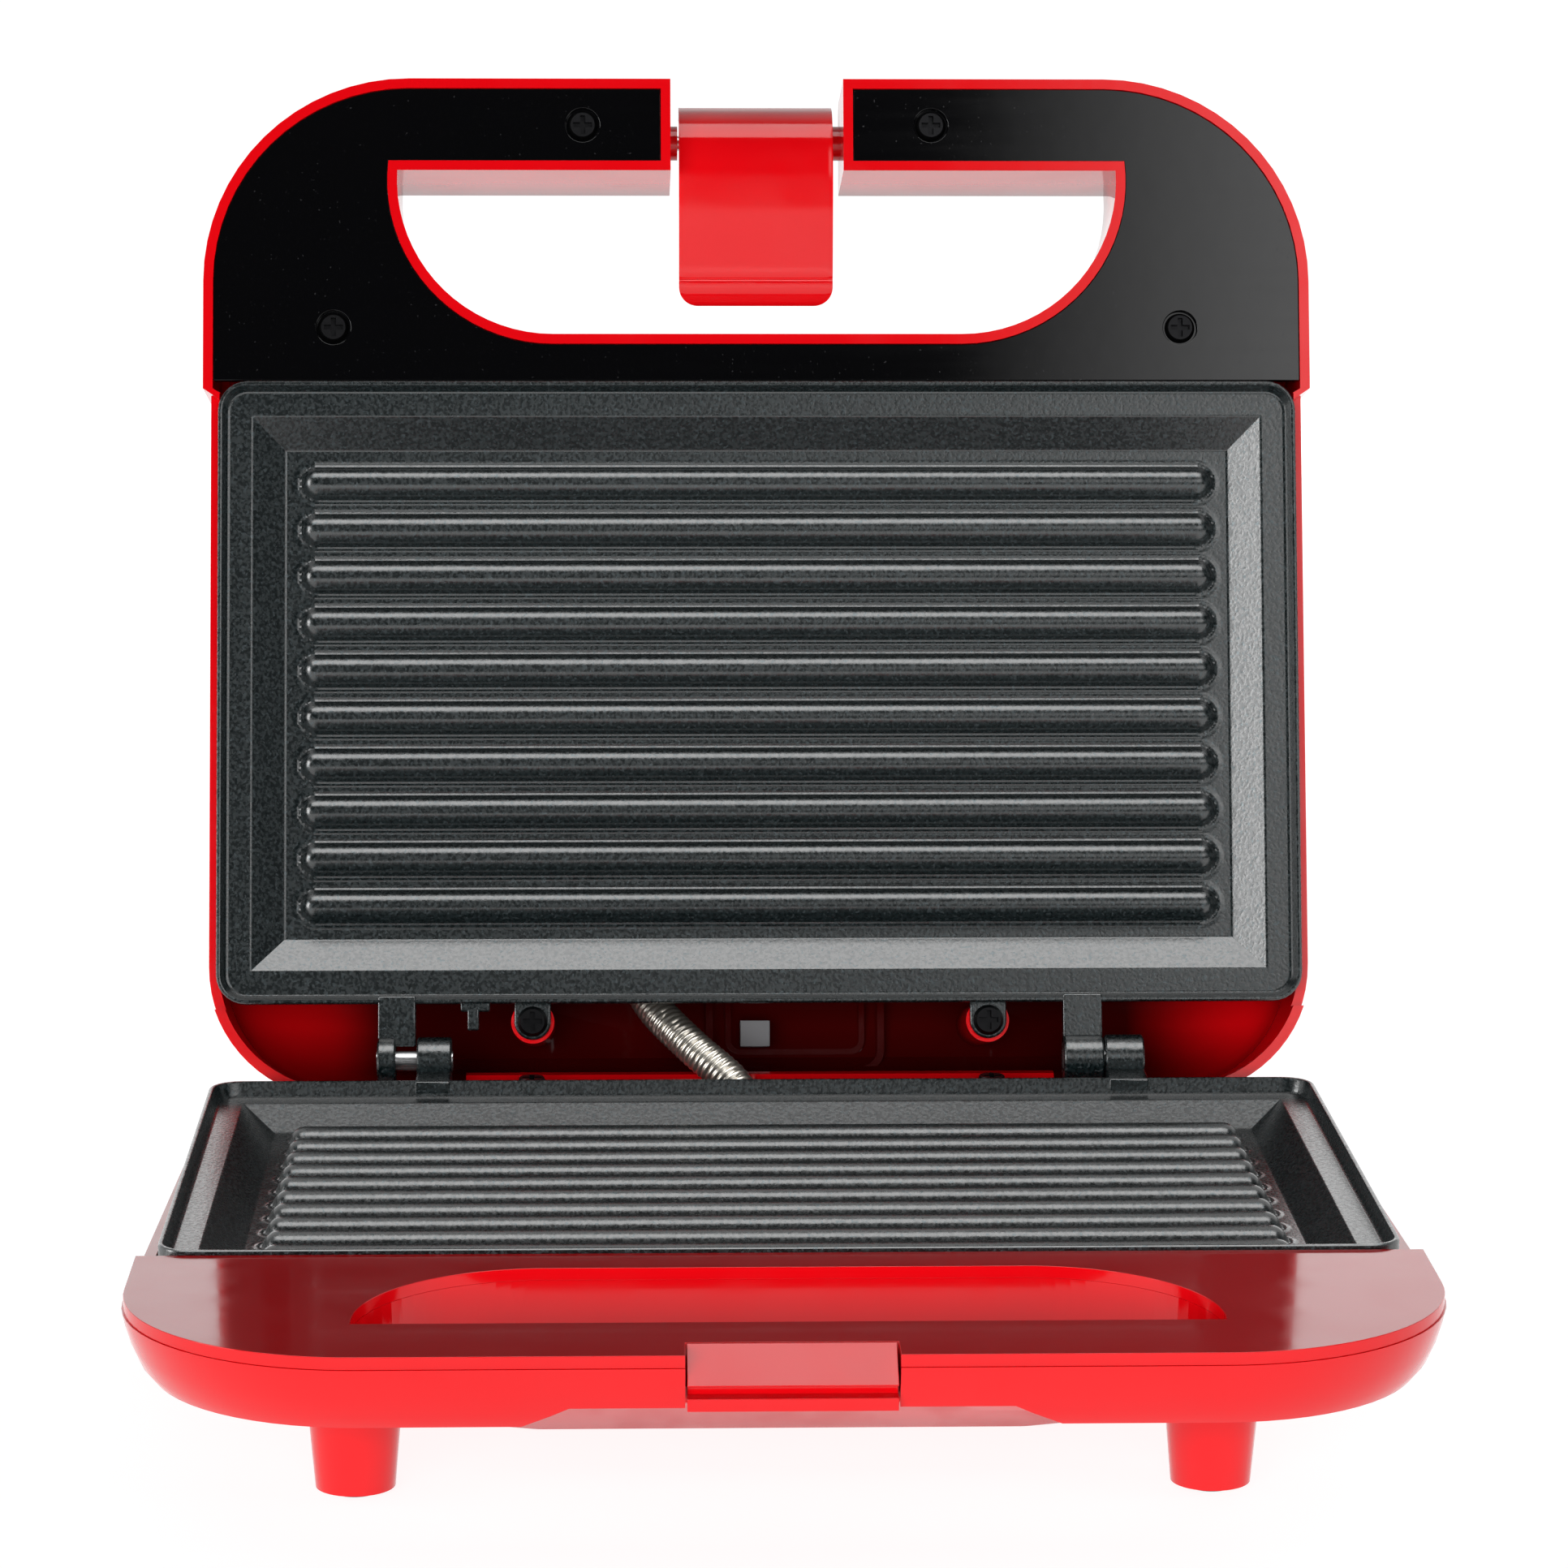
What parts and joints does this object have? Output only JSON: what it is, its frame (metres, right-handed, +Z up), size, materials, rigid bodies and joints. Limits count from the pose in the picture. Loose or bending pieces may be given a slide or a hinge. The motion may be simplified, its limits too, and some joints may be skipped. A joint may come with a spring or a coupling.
{
  "type": "panini press",
  "caption": "Contact grill with two ribbed non-stick plates in glossy red housings, hinged at the back, with loop handles and a swinging latch; stored open.",
  "frame": {"origin": "on the table, under the middle of the open press's bounding box", "axes": "+X to the right as seen from the handles, +Y from the handles towards the hinge, +Z up"},
  "size_m": [0.2284, 0.2794, 0.2353],
  "materials": {
    "red_plastic": "high gloss",
    "black_gloss": "high gloss",
    "nonstick": "satin non-stick coating with a fine speckle",
    "sheath_steel": "dull",
    "bright_steel": "satin",
    "black_steel": "black oxide",
    "black_rubber": "matt",
    "ivory_plastic": "matt",
    "wire_sleeve": "woven glass sleeve",
    "red_lens": "clear red",
    "green_lens": "clear green",
    "lamp_glass": "clear",
    "ceramic_white": "glazed",
    "grey_plastic": "matt",
    "conduit_nickel": "nickel-plated spring winding"
  },
  "bodies": {
    "base": {"base_shell": "red_plastic", "base_handle_cover": "red_plastic", "latch_catch": "red_plastic", "lower_plate": "nonstick", "lower_heating_element": "sheath_steel", "lower_heat_shield": "bright_steel", "lower_plate_screws": "black_steel", "base_cover_screws": "black_steel", "foot_pads": "black_rubber", "hinge_pin_left": "bright_steel", "hinge_pin_right": "bright_steel", "thermostat": "bright_steel", "terminal_block": "ivory_plastic", "cord_gland": "black_rubber", "base_wires": "wire_sleeve", "wiring_conduit": "conduit_nickel"},
    "lid": {"lid_shell": "red_plastic", "handle_cover": "black_gloss", "handle_cover_screws": "black_steel", "upper_plate": "nonstick", "upper_heating_element": "sheath_steel", "upper_heat_shield": "bright_steel", "upper_plate_screws": "black_steel", "power_lamp_lens": "red_lens", "ready_lamp_lens": "green_lens", "neon_lamps": "lamp_glass", "lamp_holder": "ivory_plastic", "thermal_fuse": "ceramic_white", "lid_wires": "wire_sleeve", "conduit_clip": "grey_plastic", "latch_pin": "bright_steel"},
    "latch": {"latch": "red_plastic"}
  },
  "joints": [
    {"name": "lid_hinge", "type": "hinge", "parent": "base", "child": "lid", "pos_m": [0, 0.06307, 0.04], "axis": [1, 0, 0], "range_deg": [0, 104.8], "deforming": ["wiring_conduit"]},
    {"name": "latch_pivot", "type": "hinge", "parent": "lid", "child": "latch", "pos_m": [0, 0.13058, 0.22112], "axis": [1, 0, 0], "range_deg": [-200, 40]}
  ]
}
